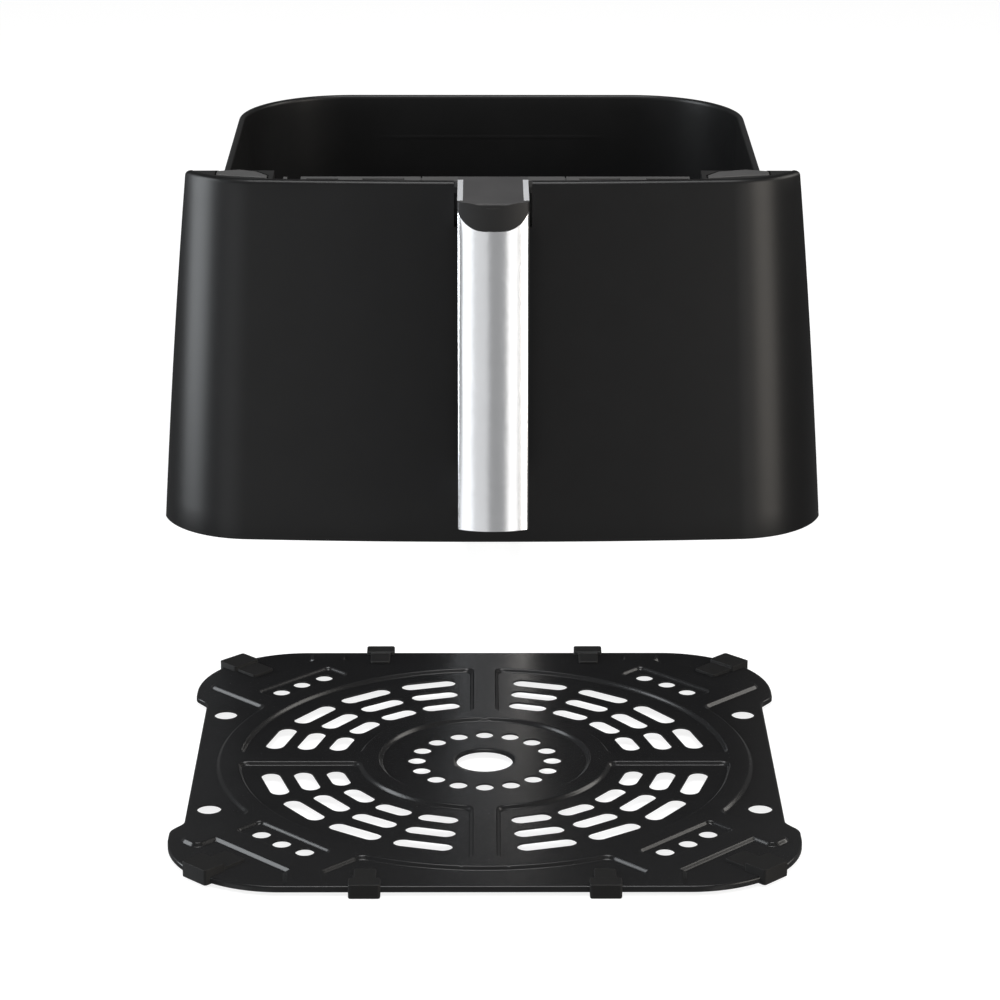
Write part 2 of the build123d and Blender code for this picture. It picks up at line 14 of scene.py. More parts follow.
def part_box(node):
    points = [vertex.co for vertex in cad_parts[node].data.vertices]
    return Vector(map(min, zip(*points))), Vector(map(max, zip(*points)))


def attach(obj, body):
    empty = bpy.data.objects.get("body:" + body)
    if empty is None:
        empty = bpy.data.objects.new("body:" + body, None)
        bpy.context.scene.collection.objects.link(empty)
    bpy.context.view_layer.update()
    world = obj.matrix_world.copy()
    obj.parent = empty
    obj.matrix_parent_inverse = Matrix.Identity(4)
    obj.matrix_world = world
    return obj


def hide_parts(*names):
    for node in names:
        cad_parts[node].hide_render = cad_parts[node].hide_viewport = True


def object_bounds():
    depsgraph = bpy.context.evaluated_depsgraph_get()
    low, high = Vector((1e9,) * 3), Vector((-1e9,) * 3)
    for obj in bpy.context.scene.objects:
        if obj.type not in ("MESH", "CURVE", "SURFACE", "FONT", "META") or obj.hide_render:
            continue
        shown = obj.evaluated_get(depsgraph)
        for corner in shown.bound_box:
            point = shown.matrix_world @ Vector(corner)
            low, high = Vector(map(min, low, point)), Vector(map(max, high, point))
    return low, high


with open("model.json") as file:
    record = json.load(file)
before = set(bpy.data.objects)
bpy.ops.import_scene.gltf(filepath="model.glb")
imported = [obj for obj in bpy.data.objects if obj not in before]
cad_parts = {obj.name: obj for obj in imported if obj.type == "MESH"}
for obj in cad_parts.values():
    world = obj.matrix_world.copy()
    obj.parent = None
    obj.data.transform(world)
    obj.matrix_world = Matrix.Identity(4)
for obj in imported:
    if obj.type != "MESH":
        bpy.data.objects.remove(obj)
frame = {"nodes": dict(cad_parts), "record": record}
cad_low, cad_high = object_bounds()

MM = 0.001
DRAWER = "drawer"
PLATE = "plate"
PATCHES = (55.0, 3.0)         # soft patches of colour: features per metre, and detail
PATCH_STOPS = (0.3, 0.7)      # where in that noise the darker and the paler patch begin
UPWARD = (0.70, 0.95)         # Z of a normal where a face starts to face up, and where it fully does


# --- materials ----------------------------------------------------------------------------------


def add_node(tree, kind, **values):
    """A shader node, with attributes and input defaults set by name."""
    node = tree.nodes.new(kind)
    for key, value in values.items():
        if hasattr(node, key):
            setattr(node, key, value)
        else:
            node.inputs[key.replace("_", " ")].default_value = value
    return node


def noise(tree, coordinate, scale, detail=2.0, stretch=(1, 1, 1)):
    """Noise in the object's own coordinates, with scale in features per metre."""
    mapping = add_node(tree, "ShaderNodeMapping", Scale=stretch)
    tree.links.new(coordinate, mapping.inputs["Vector"])
    texture = add_node(tree, "ShaderNodeTexNoise", Scale=scale, Detail=detail)
    tree.links.new(mapping.outputs["Vector"], texture.inputs["Vector"])
    return texture.outputs["Fac"]


def mottled(tree, place, color, share):
    """The colour, darker by a share in some soft patches and paler by it in others."""
    ramp = add_node(tree, "ShaderNodeValToRGB")
    for stop, position, level in zip(ramp.color_ramp.elements, PATCH_STOPS, (1 - share, 1 + share)):
        stop.position = position
        stop.color = (*(min(1.0, channel * level) for channel in color), 1)
    tree.links.new(noise(tree, place, *PATCHES), ramp.inputs["Fac"])
    return ramp.outputs["Color"]


def material(name, color, roughness, grain, mottle=0.10, spread=0.05, stretch=(1, 1, 1), **shader):
    """A surface with fine relief, slight mottling of its colour and an uneven gloss.

    grain is (features per metre, depth in metres). shader sets more of the shader's own sockets.
    """
    made = bpy.data.materials.new(name)
    made.use_nodes = True
    made.diffuse_color = (*color, 1)
    tree = made.node_tree
    surface = tree.nodes["Principled BSDF"]
    for key, value in shader.items():
        surface.inputs[key.replace("_", " ")].default_value = value
    place = add_node(tree, "ShaderNodeTexCoord").outputs["Object"]
    tree.links.new(mottled(tree, place, color, mottle), surface.inputs["Base Color"])

    fine = noise(tree, place, grain[0], stretch=stretch)
    gloss = add_node(tree, "ShaderNodeMapRange", To_Min=roughness - spread, To_Max=roughness + spread)
    tree.links.new(fine, gloss.inputs["Value"])
    tree.links.new(gloss.outputs["Result"], surface.inputs["Roughness"])

    bump = add_node(tree, "ShaderNodeBump", Strength=1.0, Distance=grain[1])
    tree.links.new(fine, bump.inputs["Height"])
    tree.links.new(bump.outputs["Normal"], surface.inputs["Normal"])
    return made


MATERIALS = {
    "nonstick_coating": material(
        "nonstick_coating", (0.009, 0.009, 0.0093), 0.34, (1400, 0.000012), Specular_IOR_Level=0.30),
    "plate_coating": material(
        "plate_coating", (0.0085, 0.0085, 0.009), 0.25, (1400, 0.000012), Specular_IOR_Level=0.35),
    "cover_plastic": material(
        "cover_plastic", (0.0050, 0.0050, 0.0053), 0.34, (2600, 0.000008), Specular_IOR_Level=0.30),
    "trim_plastic": material(
        "trim_plastic", (0.078, 0.077, 0.077), 0.45, (2200, 0.00001), Specular_IOR_Level=0.3),
    "cap_plastic": material(
        "cap_plastic", (0.057, 0.056, 0.057), 0.48, (2200, 0.00001), Specular_IOR_Level=0.3),
    "frame_plastic": material(
        "frame_plastic", (0.014, 0.014, 0.014), 0.50, (1800, 0.000012), Specular_IOR_Level=0.3),
    "silver_metal": material(
        "silver_metal", (0.84, 0.85, 0.87), 0.20, (2600, 0.000003), 0.02, 0.04, (1, 1, 0.012),
        Metallic=1.0),
    "zinc_steel": material("zinc_steel", (0.45, 0.46, 0.48), 0.34, (900, 0.00001), 0.12, 0.08,
                           Metallic=1.0),
    "rivet_steel": material("rivet_steel", (0.42, 0.42, 0.42), 0.30, (1500, 0.00001), Metallic=1.0),
    "screw_steel": material("screw_steel", (0.45, 0.45, 0.44), 0.28, (1500, 0.00001), Metallic=1.0),
    "bare_aluminium": material("bare_aluminium", (0.66, 0.66, 0.67), 0.36, (1600, 0.000006), 0.05, 0.06,
                               (0.02, 1, 1), Metallic=1.0),
    "silicone": material("silicone", (0.0065, 0.0063, 0.0063), 0.50, (1500, 0.00001),
                         Specular_IOR_Level=0.3),
}


def by_upward_face(tree, low, high):
    """A value that changes from low to high where a surface turns to face up."""
    axes = add_node(tree, "ShaderNodeSeparateXYZ")
    tree.links.new(add_node(tree, "ShaderNodeTexCoord").outputs["Normal"], axes.inputs[0])
    turn = add_node(tree, "ShaderNodeMapRange", From_Min=UPWARD[0], From_Max=UPWARD[1],
                    To_Min=low, To_Max=high)
    tree.links.new(axes.outputs["Z"], turn.inputs["Value"])
    return turn.outputs["Result"]


def paint_side_shade(made, share):
    """Painted shade: darkens the colour of every face but the upward ones by a share, so the sides read
    darker than the lit top.
    """
    tree = made.node_tree
    surface = tree.nodes["Principled BSDF"]
    grained = surface.inputs["Base Color"].links[0].from_socket
    # painted shade: the colour is scaled down on every face that doesn't face up
    side_shade = add_node(tree, "ShaderNodeVectorMath", operation="SCALE")
    tree.links.new(grained, side_shade.inputs[0])
    tree.links.new(by_upward_face(tree, share, 1.0), side_shade.inputs["Scale"])
    tree.links.new(side_shade.outputs[0], surface.inputs["Base Color"])


def matt_cut_edge(made, extra):
    """Makes the sawn upper edge of a brushed profile rougher than its faces."""
    tree = made.node_tree
    surface = tree.nodes["Principled BSDF"]
    brushed = surface.inputs["Roughness"].links[0].from_socket
    total = add_node(tree, "ShaderNodeMath", operation="ADD")
    tree.links.new(brushed, total.inputs[0])
    tree.links.new(by_upward_face(tree, 0.0, extra), total.inputs[1])
    tree.links.new(total.outputs[0], surface.inputs["Roughness"])


# painted shade: the cap's front and sides keep 0.22 of its colour, the upward faces keep all of it
paint_side_shade(MATERIALS["cap_plastic"], 0.22)
matt_cut_edge(MATERIALS["silver_metal"], 0.45)

SLOT_OF = {part["node"]: part["material_slot"] for part in frame["record"]["subparts"]}


# --- making pieces ------------------------------------------------------------------------------


def add_piece(name, mesh, node, body, sharp=35.0):
    """Puts a finished mesh in the scene in place of a CAD node."""
    mesh.name = name
    mesh.materials.clear()
    mesh.materials.append(MATERIALS[SLOT_OF[node]])
    for polygon in mesh.polygons:
        polygon.use_smooth = True
    mesh.set_sharp_from_angle(angle=radians(sharp))
    piece = bpy.data.objects.new(name, mesh)
    bpy.context.scene.collection.objects.link(piece)
    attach(piece, body)
    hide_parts(node)
    piece.visible_glossy = body != PLATE
    return piece


def mesh_from(vertices, faces, merge=0.0001 * MM, flatten=0.0):
    """A mesh with all its normals facing out.

    merge is how near each other points become one. Faces that differ by less than flatten, in degrees,
    become one.
    """
    mesh = bpy.data.meshes.new("mesh")
    mesh.from_pydata([tuple(map(float, v)) for v in vertices], [], faces)
    edit = bmesh.new()
    edit.from_mesh(mesh)
    bmesh.ops.remove_doubles(edit, verts=edit.verts, dist=merge)
    if flatten:
        bmesh.ops.dissolve_limit(edit, angle_limit=radians(flatten), verts=edit.verts, edges=edit.edges)
    bmesh.ops.recalc_face_normals(edit, faces=edit.faces)
    edit.to_mesh(mesh)
    edit.free()
    return mesh


def soften(piece, width, angle=32.0):
    """Rounds the sharp edges of a piece, as a mould or a press leaves them."""
    bevel = piece.modifiers.new("rounded_edges", "BEVEL")
    bevel.width = width
    bevel.segments = 2
    bevel.limit_method = "ANGLE"
    bevel.angle_limit = radians(angle)
    bevel.harden_normals = True


def rounded_copy(name, node, body, width):
    """The CAD node's shape with its sharp edges rounded."""
    source = frame["nodes"][node].data
    vertices = [vertex.co for vertex in source.vertices]
    faces = [tuple(polygon.vertices) for polygon in source.polygons]
    mesh = mesh_from(vertices, faces, merge=0.002 * MM, flatten=0.4)
    piece = add_piece(name, mesh, node, body, sharp=40.0)
    soften(piece, width)
    return piece


def loft(loops):
    """The points of closed loops of equal length, and the faces between neighbouring loops."""
    count = len(loops[0])
    vertices = [point for loop in loops for point in loop]
    faces = []
    for here in range(0, len(vertices) - count, count):
        there = here + count
        for j in range(count):
            k = (j + 1) % count
            faces.append((here + j, here + k, there + k, there + j))
    return vertices, faces


def end_faces(loops):
    """The two faces that close a loft."""
    count = len(loops[0])
    last = (len(loops) - 1) * count
    return [tuple(range(count)), tuple(range(last, last + count))]


# --- basket -------------------------------------------------------------------------------------

RIM_RADIUS = 54.2 * MM       # corner radius of the rim in plan
SHEET = 1.0 * MM             # thickness of the wall and the floor
BEAD = 2.0 * MM              # how far the rolled rim stands out from the wall
BEAD_H = 3.0 * MM
DRAFT = 3.0 * MM             # how much the wall leans in from the rim to the floor
FLOOR_BEND = 9.0 * MM
FLOOR_RINGS = (55 * MM, 30 * MM)    # how far inside the wall's foot the flat floor has its mesh rings
BEAD_UNDER = (1.0 * MM, 0.9 * MM)   # level and upright radius of the bead's lower outer rounding
BEAD_OVER = (1.5 * MM, 1.4 * MM)    # the same of its upper outer rounding
BEAD_CREST = 1.7 * MM               # from the rim's outer edge to the bead's highest line
BEAD_INSIDE = 1.9 * MM              # how far below the top the bead meets the inner wall
FILL_LINE = (21.5 * MM, 55 * MM)    # depth of the fill line below the rim, and its half length
FILL_RIDGE = 0.15 * MM
FILL_ROWS = (1.6, 0.7, 0.0, -0.7, -1.6)   # mesh rows round the fill line, mm above it


def rounded_rectangle(width, depth, radius, corner_steps=28, side_steps=22):
    """Points round a rounded rectangle about the origin, counter-clockwise from the right side."""
    points = []
    places = [(1, 1, 0), (-1, 1, 90), (-1, -1, 180), (1, -1, 270)]
    for place, (sx, sy, start) in enumerate(places):
        cx, cy = sx * (width / 2 - radius), sy * (depth / 2 - radius)
        for i in range(corner_steps + 1):
            angle = radians(start + 90 * i / corner_steps)
            points.append((cx + radius * cos(angle), cy + radius * sin(angle)))
        nx, ny, turn = places[(place + 1) % 4]
        end = (nx * (width / 2 - radius) + radius * cos(radians(turn)),
               ny * (depth / 2 - radius) + radius * sin(radians(turn)))
        begin = points[-1]
        for i in range(1, side_steps):
            share = i / side_steps
            points.append((begin[0] + (end[0] - begin[0]) * share,
                           begin[1] + (end[1] - begin[1]) * share))
    return points


def arc(cx, cz, rx, rz, start, end, steps):
    """(inset, height) points along an elliptical arc, with angles in degrees."""
    return [(cx + rx * cos(radians(start + (end - start) * i / steps)),
             cz + rz * sin(radians(start + (end - start) * i / steps))) for i in range(steps + 1)]


def basket_profile(top):
    """(inset from the rim's outer edge, height) from the middle of the outer floor, over the rim."""
    foot = BEAD + DRAFT
    bend = FLOOR_BEND
    points = [(foot + ring, 0.0) for ring in FLOOR_RINGS]
    points += arc(foot + bend, bend, bend, bend, 270, 180, 8)
    for share in (0.3, 0.6, 0.85):
        points.append((BEAD + DRAFT * (1 - share), share * top))
    under = top - BEAD_H
    points.append((BEAD + DRAFT * (1 - under / top), under - 0.4 * MM))
    out, up = BEAD_UNDER
    points += arc(out, under + up, out, up, 270, 180, 4)
    out, up = BEAD_OVER
    points += arc(out, top - up, out, up, 180, 90, 6)
    inner = BEAD + SHEET
    inside = inner - BEAD_CREST + 0.05 * MM
    points += arc(BEAD_CREST, top - BEAD_INSIDE, inside, BEAD_INSIDE, 90, 0, 6)
    line = top - FILL_LINE[0]
    rows = [top - 8 * MM] + [line + row * MM for row in FILL_ROWS] + [0.6 * top, 0.35 * top]
    points += [(inner + DRAFT * (1 - z / top), z) for z in rows]
    bend = FLOOR_BEND - SHEET
    points += arc(foot + SHEET + bend, SHEET + bend, bend, bend, 180, 270, 8)
    points += [(foot + ring, SHEET) for ring in reversed(FLOOR_RINGS)]
    return points


def make_basket():
    """The deep-drawn pan with its rolled rim, and the faint fill line across its back wall."""
    low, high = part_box("basket")
    width, depth, top = high.x - low.x, high.y - low.y, high.z
    middle = (low + high) / 2
    rings = []
    for inset, z in basket_profile(top):
        radius = max(RIM_RADIUS - inset, 4 * MM)
        ring = rounded_rectangle(width - 2 * inset, depth - 2 * inset, radius)
        line = abs(z - (top - FILL_LINE[0])) < 0.3 * MM
        points = []
        for x, y in ring:
            ridge = FILL_RIDGE if line and y > 0 and abs(x) < FILL_LINE[1] else 0.0
            points.append((middle.x + x, middle.y + y - ridge, z))
        rings.append(points)
    vertices, faces = loft(rings)
    add_piece("basket_pan", mesh_from(vertices, faces + end_faces(rings)), "basket", DRAWER)


# --- front cover --------------------------------------------------------------------------------

COVER_HALF = (151.0 * MM, 142.75 * MM)  # half width of the full outline, at the bottom and the top
COVER_RADIUS = (43.0 * MM, 40.0 * MM)   # corner radius in plan, at the bottom and the top
COVER_BELLY = 0.15 * MM       # how much the sides swell at half height
COVER_LEAN = 13.75 * MM       # how far the front leans back from the bottom to the top
COVER_BOW = 6.9 * MM          # how far the front's middle stands before its ends
COVER_WALL = 2.8 * MM
COVER_LIP = (12.0 * MM, 2.5 * MM)       # width and thickness of the rim that turns in at the bottom
COVER_EDGE = 2.0 * MM         # rounding of the top edge
COVER_INNER_EDGE = 0.5 * MM   # the same inside
COVER_FOOT = 0.5 * MM         # rounding of the bottom edge
COVER_ROWS = (12, 30, 50, 70, 90, 108, 126)   # heights of the wall's mesh rows, mm
COVER_TOP_ROW = 153 * MM
NOTCH = (17.25 * MM, 142.5 * MM)        # half width and lower edge of the notch for the handle
CORNER_STEPS = 40
FACE_STEPS = 26               # from the notch to a corner
NOTCH_STEPS = 4               # from the middle to a side of the notch


class CoverPlan:
    """The cover's outline in plan at one height, moved in by an inset."""

    def __init__(self, z, inset, front_low, height, back):
        share = z / height
        belly = COVER_BELLY * 4 * share * (1 - share)
        self.half = COVER_HALF[0] + (COVER_HALF[1] - COVER_HALF[0]) * share + belly - inset
        self.radius = COVER_RADIUS[0] + (COVER_RADIUS[1] - COVER_RADIUS[0]) * share - inset
        front = front_low + COVER_LEAN * share + inset
        self.bow = (self.half ** 2 + COVER_BOW ** 2) / (2 * COVER_BOW)
        self.bow_y = front + self.bow
        self.corner_x = self.half - self.radius
        self.corner_y = self.bow_y - sqrt((self.bow - self.radius) ** 2 - self.corner_x ** 2)
        self.start = asin(min(1.0, max(0.0, (self.corner_y - back) / self.radius)))
        self.end = atan2(self.bow_y - self.corner_y, self.corner_x)

    def corner(self, share):
        """A point on the right corner, from the cut at the back to the front face."""
        angle = self.start + (self.end - self.start) * share
        return (self.corner_x + self.radius * cos(angle), self.corner_y - self.radius * sin(angle))

    def face(self, x):
        """A point on the bowed front face."""
        return (x, self.bow_y - sqrt(self.bow ** 2 - x ** 2))

    def tangent_x(self):
        """Where the front face meets the right corner."""
        return self.corner_x + self.radius * cos(self.end)

    def point(self, place):
        """The point at one of cover_places()."""
        kind, side, share = place
        if kind == "corner":
            x, y = self.corner(share)
        elif kind == "side":
            x, y = self.face(NOTCH[0] + (self.tangent_x() - NOTCH[0]) * share)
        else:
            x, y = self.face(NOTCH[0] * share)
        return side * x, y


def cover_places():
    """(stretch, side, share along it) round the cover, from its right end to its left end."""
    corner = [i / CORNER_STEPS for i in range(CORNER_STEPS)]
    face = [i / FACE_STEPS for i in range(1, FACE_STEPS + 1)]
    notch = [i / NOTCH_STEPS for i in range(NOTCH_STEPS, -NOTCH_STEPS - 1, -1)]
    places = [("corner", 1, share) for share in corner]
    places += [("side", 1, share) for share in reversed(face)]
    places += [("notch", 1, share) for share in notch]
    places += [("side", -1, share) for share in face]
    places += [("corner", -1, share) for share in reversed(corner)]
    return places


def cover_profile(height):
    """(inset, height) round the wall's closed section, with a row at the notch's lower edge."""
    rows = [row * MM for row in COVER_ROWS] + [NOTCH[1], COVER_TOP_ROW]
    lip, thick = COVER_LIP
    half_lip = 5 * MM
    points = [(lip, 0.0), (half_lip, 0.0)]
    points += arc(COVER_FOOT, COVER_FOOT, COVER_FOOT, COVER_FOOT, 270, 180, 4)
    points += [(0.0, z) for z in rows]
    points += arc(COVER_EDGE, height - COVER_EDGE, COVER_EDGE, COVER_EDGE, 180, 90, 4)
    edge = COVER_INNER_EDGE
    points += arc(COVER_WALL - edge, height - edge, edge, edge, 90, 0, 3)
    points += [(COVER_WALL, z) for z in reversed(rows)]
    points += [(COVER_WALL, thick), (half_lip, thick), (lip, thick)]
    return points


def cut_notch(faces, places, profile):
    """Takes out the faces above the notch's lower edge, and closes the wall along the cut."""
    count = len(profile)
    in_notch = [kind == "notch" for kind, side, share in places]
    above = [z > NOTCH[1] - 0.001 * MM for inset, z in profile]
    kept = []
    for face in faces:
        across = all(in_notch[vertex // count] for vertex in face)
        upper = all(above[vertex % count] for vertex in face)
        if not (across and upper):
            kept.append(face)
    first = above.index(True)
    last = count - 1 - above[::-1].index(True)
    columns = [i for i, inside in enumerate(in_notch) if inside]
    for a, b in zip(columns, columns[1:]):
        kept.append((a * count + first, a * count + last, b * count + last, b * count + first))
    for end in (columns[0], columns[-1]):
        kept.append(tuple(range(end * count + first, end * count + last + 1)))
    return kept


def make_cover():
    """The bowed, leaning shell, open at the back and notched for the handle."""
    low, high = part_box("front_cover")
    height = high.z
    profile = cover_profile(height)
    plans = [CoverPlan(z, inset, low.y, height, high.y) for inset, z in profile]
    places = cover_places()
    columns = []
    for place in places:
        columns.append([(*plan.point(place), z) for plan, (inset, z) in zip(plans, profile)])
    vertices, faces = loft(columns)
    faces = cut_notch(faces, places, profile) + end_faces(columns)
    piece = add_piece("cover_shell", mesh_from(vertices, faces), "front_cover", DRAWER)
    soften(piece, 0.4 * MM, 55.0)


# --- crisper plate ------------------------------------------------------------------------------

PLATE_R = 42.3 * MM           # corner radius in plan
PLATE_T = 0.8 * MM            # sheet thickness
EDGE_TURN = 1.4 * MM          # how far the edge is turned down below the underside
EDGE_BEND = 0.8 * MM          # outer radius of that bend
LIP_BEND = 0.6 * MM           # the same round the lift hole
RECESS = (4.8 * MM, 57.5 * MM, 67.0 * MM)   # depth, and where it starts and ends to blend out
PRESS = 1.45 * MM             # height of the pressed areas
RAMP = 1.7 * MM               # width of a pressed step
DISC_R = 100.9 * MM
RING_R = 92.6 * MM            # outer wall of the four sunk quadrants
HUB_OUT = 47.4 * MM
HUB_IN = 39.4 * MM
CROSS = 4.9 * MM              # half width of the bars between the quadrants
ARM = (-33.0 * MM, 24.5 * MM) # sides of the raised arm, measured across the diagonal
SEAT = (-23.5 * MM, 15.3 * MM, 121.7 * MM)   # sides and inner edge of the sunk seat for the clip
TONGUES = (128.6 * MM, 131.0 * MM)           # how far out the arm reaches on each side of the seat
PAD = (-22.6 * MM, 15.3 * MM, 100.4 * MM, 111.7 * MM)   # sunk pad round the three corner holes
PAD_DEPTH = 1.2 * MM
PIMPLE = (71.7 * MM, 102.5 * MM, 0.9 * MM, 0.35 * MM)   # place, radius and height of the four pimples
INNER_BLEND = 3.0 * MM        # rounding where the arms meet the raised disc
QUADRANT_BLEND = 3.5 * MM     # rounding of the sunk quadrants' corners

LIFT_HOLE = 10.7 * MM
SMALL_HOLE = 3.5 * MM
SIDE_HOLE = (101.3 * MM, 46.3 * MM, 4.5 * MM)
CORNER_HOLES = [(80.7 * MM, 69.9 * MM), (73.0 * MM, 78.2 * MM), (64.4 * MM, 85.4 * MM)]
HUB_HOLES = (25.7 * MM, 16)
SLOT_RINGS = [   # ring radius, degrees from slot to slot, slot length and width; lengths in mm
    (81.4, 19.4, 22.3, 7.3),
    (69.4, 19.0, 19.0, 7.3),
    (57.4, 18.5, 15.4, 7.1),
]

OUTLINE_SPACING = 1.2 * MM    # distance between mesh points along the sheet's edge
HOLE_SPACING = 0.8 * MM       # and round the holes
EDGE_ROWS = (0.1 * MM, 0.35 * MM, 0.7 * MM, 0.9 * MM)   # mesh rows inside the edge
HOLE_ROW = 0.45 * MM          # one mesh row round each hole
LIP_ROW = 0.15 * MM           # and one more round the lift hole
FINE = 0.5 * MM               # mesh points on the pressed ramps
FINE_ROW = 0.9                # distance between their rows, as a share of FINE
COARSE_EVERY = 4              # how many fine points apart the points of flat areas are
SMALLEST_CELL = 0.32 * MM
RAMP_ROWS = (-0.5, -0.25, 0.0, 0.25, 0.5)   # mesh rows across a ramp, as shares of its width
ON_EDGE = 0.05 * MM           # how near the outline a vertex lies on it
PULL_IN = 0.9994              # scale that takes such a vertex just inside the outline
LEVEL_NORMAL = 0.15           # Z of a normal below which a face belongs to the sheet's cut edge


def smooth_max(a, b, blend):
    """The larger of two distances, with a rounded inner corner."""
    h = np.clip(0.5 + 0.5 * (a - b) / blend, 0, 1)
    return b + (a - b) * h + blend * h * (1 - h)


def smooth_min(a, b, blend):
    return -smooth_max(-a, -b, blend)


def ease(share):
    """A smooth rise from 0 to 1 as the share goes from 0 to 1."""
    t = np.clip(share, 0, 1)
    return t * t * (3 - 2 * t)


def step(distance):
    """0 outside to 1 inside, over the width of a pressed ramp."""
    return ease(distance / RAMP + 0.5)


def recess(y):
    """How far the left and right edges are set in, which blends out towards the corners."""
    depth, start, end = RECESS
    return depth * (1 - ease((np.abs(y) - start) / (end - start)))


def rounded_box(u, v, u_range, v_range, radius):
    """Distance inside a rounded rectangle, positive inside."""
    du = np.abs(u - sum(u_range) / 2) - (u_range[1] - u_range[0]) / 2 + radius
    dv = np.abs(v - sum(v_range) / 2) - (v_range[1] - v_range[0]) / 2 + radius
    outside = np.hypot(np.maximum(du, 0), np.maximum(dv, 0))
    return radius - outside - np.minimum(np.maximum(du, dv), 0)


def press_distances(x, y):
    """Distances inside the raised plateau, the sunk quadrants, the hub's disc and the pads."""
    ax, ay = np.abs(x), np.abs(y)
    r = np.hypot(x, y)
    across, along = (ax - ay) / sqrt(2), (ax + ay) / sqrt(2)
    arm = rounded_box(across, along, ARM, (0.0, SEAT[2]), 0.2 * MM)
    front_tongue = rounded_box(across, along, (ARM[0], SEAT[0]), (60 * MM, TONGUES[0]), 3.0 * MM)
    side_tongue = rounded_box(across, along, (SEAT[1], ARM[1]), (60 * MM, TONGUES[1]), 3.0 * MM)
    arm = np.maximum(arm, np.maximum(front_tongue, side_tongue))
    plateau = smooth_max(DISC_R - r, arm, INNER_BLEND)
    quadrant = smooth_min(smooth_min(RING_R - r, r - HUB_OUT, 0.1 * MM),
                          smooth_min(ax - CROSS, ay - CROSS, 0.1 * MM), QUADRANT_BLEND)
    disc = HUB_IN - r
    pad = rounded_box(across, along, PAD[:2], PAD[2:], 2.0 * MM)
    return plateau, quadrant, disc, pad


def plate_height(x, y, edge):
    """Height of the sheet's upper face above its lowest field, from plan and distance to the edge."""
    plateau, quadrant, disc, pad = press_distances(x, y)
    height = PRESS * (step(plateau) - step(quadrant) - step(disc)) - PAD_DEPTH * step(pad)
    place_x, place_y, radius, rise = PIMPLE
    height += rise * np.exp(-(np.hypot(np.abs(x) - place_x, y - place_y) / radius) ** 2)
    lip = np.hypot(x, y) - LIFT_HOLE
    return height - turned_down(edge, EDGE_BEND) - turned_down(lip, LIP_BEND)


def turned_down(distance, radius):
    """Drop of a sheet that turns down through a quarter circle at its edge."""
    t = np.clip(1 - distance / radius, 0, 0.98)
    return radius * (1 - np.sqrt(1 - t * t))


def plate_outline(width, depth):
    """Points round the sheet: rounded corners, and a shallow recess that blends into each side."""
    half_side = 60
    loop = rounded_rectangle(width, depth, PLATE_R, corner_steps=55, side_steps=2 * half_side)
    loop = loop[-half_side:] + loop[:-half_side]
    x, y = np.array(loop).T
    limit = width / 2 - recess(y)
    return resample(np.column_stack([np.clip(x, -limit, limit), y]), OUTLINE_SPACING)


def resample(loop, spacing):
    """The closed loop with its points evenly spaced."""
    closed = np.vstack([loop, loop[:1]])
    lengths = np.hypot(*np.diff(closed, axis=0).T)
    along = np.concatenate([[0], np.cumsum(lengths)])
    count = int(ceil(along[-1] / spacing))
    where = np.linspace(0, along[-1], count, endpoint=False)
    return np.column_stack([np.interp(where, along, closed[:, 0]), np.interp(where, along, closed[:, 1])])


def circle_points(cx, cy, radius):
    """Points round a hole of the sheet."""
    count = max(16, int(ceil(2 * pi * radius / HOLE_SPACING)))
    angles = np.arange(count) * 2 * pi / count
    return np.column_stack([cx + radius * np.cos(angles), cy + radius * np.sin(angles)])


def slot_points(cx, cy, turn, length, width):
    """Points round a slot whose long axis is turned from +X."""
    reach, radius = (length - width) / 2, width / 2
    right_end = arc(reach, 0.0, radius, radius, -90, 90, 12)
    left_end = arc(-reach, 0.0, radius, radius, 90, 270, 12)
    along, side = resample(right_end + left_end, HOLE_SPACING).T
    c, s = cos(turn), sin(turn)
    return np.column_stack([cx + along * c - side * s, cy + along * s + side * c])


def slot_distance(cx, cy, turn, length, width):
    """A function for the distance outside a slot."""
    reach, radius = (length - width) / 2, width / 2
    c, s = cos(turn), sin(turn)

    def distance(x, y):
        along = (x - cx) * c + (y - cy) * s
        side = -(x - cx) * s + (y - cy) * c
        return np.hypot(np.maximum(np.abs(along) - reach, 0), side) - radius
    return distance


def round_hole(cx, cy, radius):
    """The outline of a round hole, and a function for the distance outside it."""
    def distance(x, y):
        return np.hypot(x - cx, y - cy) - radius
    return circle_points(cx, cy, radius), distance


def plate_holes():
    """Every hole as (outline, distance function), in the plate's own plan."""
    round_holes = [(0.0, 0.0, LIFT_HOLE)]
    radius, count = HUB_HOLES
    for i in range(count):
        angle = 2 * pi * i / count
        round_holes.append((radius * cos(angle), radius * sin(angle), SMALL_HOLE))
    for sx in (-1, 1):
        for sy in (-1, 1):
            round_holes.append((sx * SIDE_HOLE[0], sy * SIDE_HOLE[1], SIDE_HOLE[2]))
            round_holes += [(sx * x, sy * y, SMALL_HOLE) for x, y in CORNER_HOLES]
    holes = [round_hole(*hole) for hole in round_holes]
    for quadrant in range(4):
        for ring, turn_step, length, width in SLOT_RINGS:
            for place in (-1.5, -0.5, 0.5, 1.5):
                angle = radians(45 + 90 * quadrant + place * turn_step)
                cx, cy = ring * MM * cos(angle), ring * MM * sin(angle)
                slot = (cx, cy, angle + pi / 2, length * MM, width * MM)
                holes.append((slot_points(*slot), slot_distance(*slot)))
    return holes


def edge_distance(x, y, outline):
    """Distance to the outline, without a sign."""
    best = np.full(len(x), 1.0)
    following = np.roll(outline, -1, axis=0)
    for start, end in zip(outline, following):
        side = end - start
        t = np.clip(((x - start[0]) * side[0] + (y - start[1]) * side[1]) / (side @ side), 0, 1)
        best = np.minimum(best, np.hypot(x - start[0] - t * side[0], y - start[1] - t * side[1]))
    return best


def inside_outline(x, y, width, depth):
    """True inside the sheet's outline, recesses included."""
    outer = rounded_box(x, y, (-width / 2, width / 2), (-depth / 2, depth / 2), PLATE_R)
    return (outer > 0) & (np.abs(x) < width / 2 - recess(y))


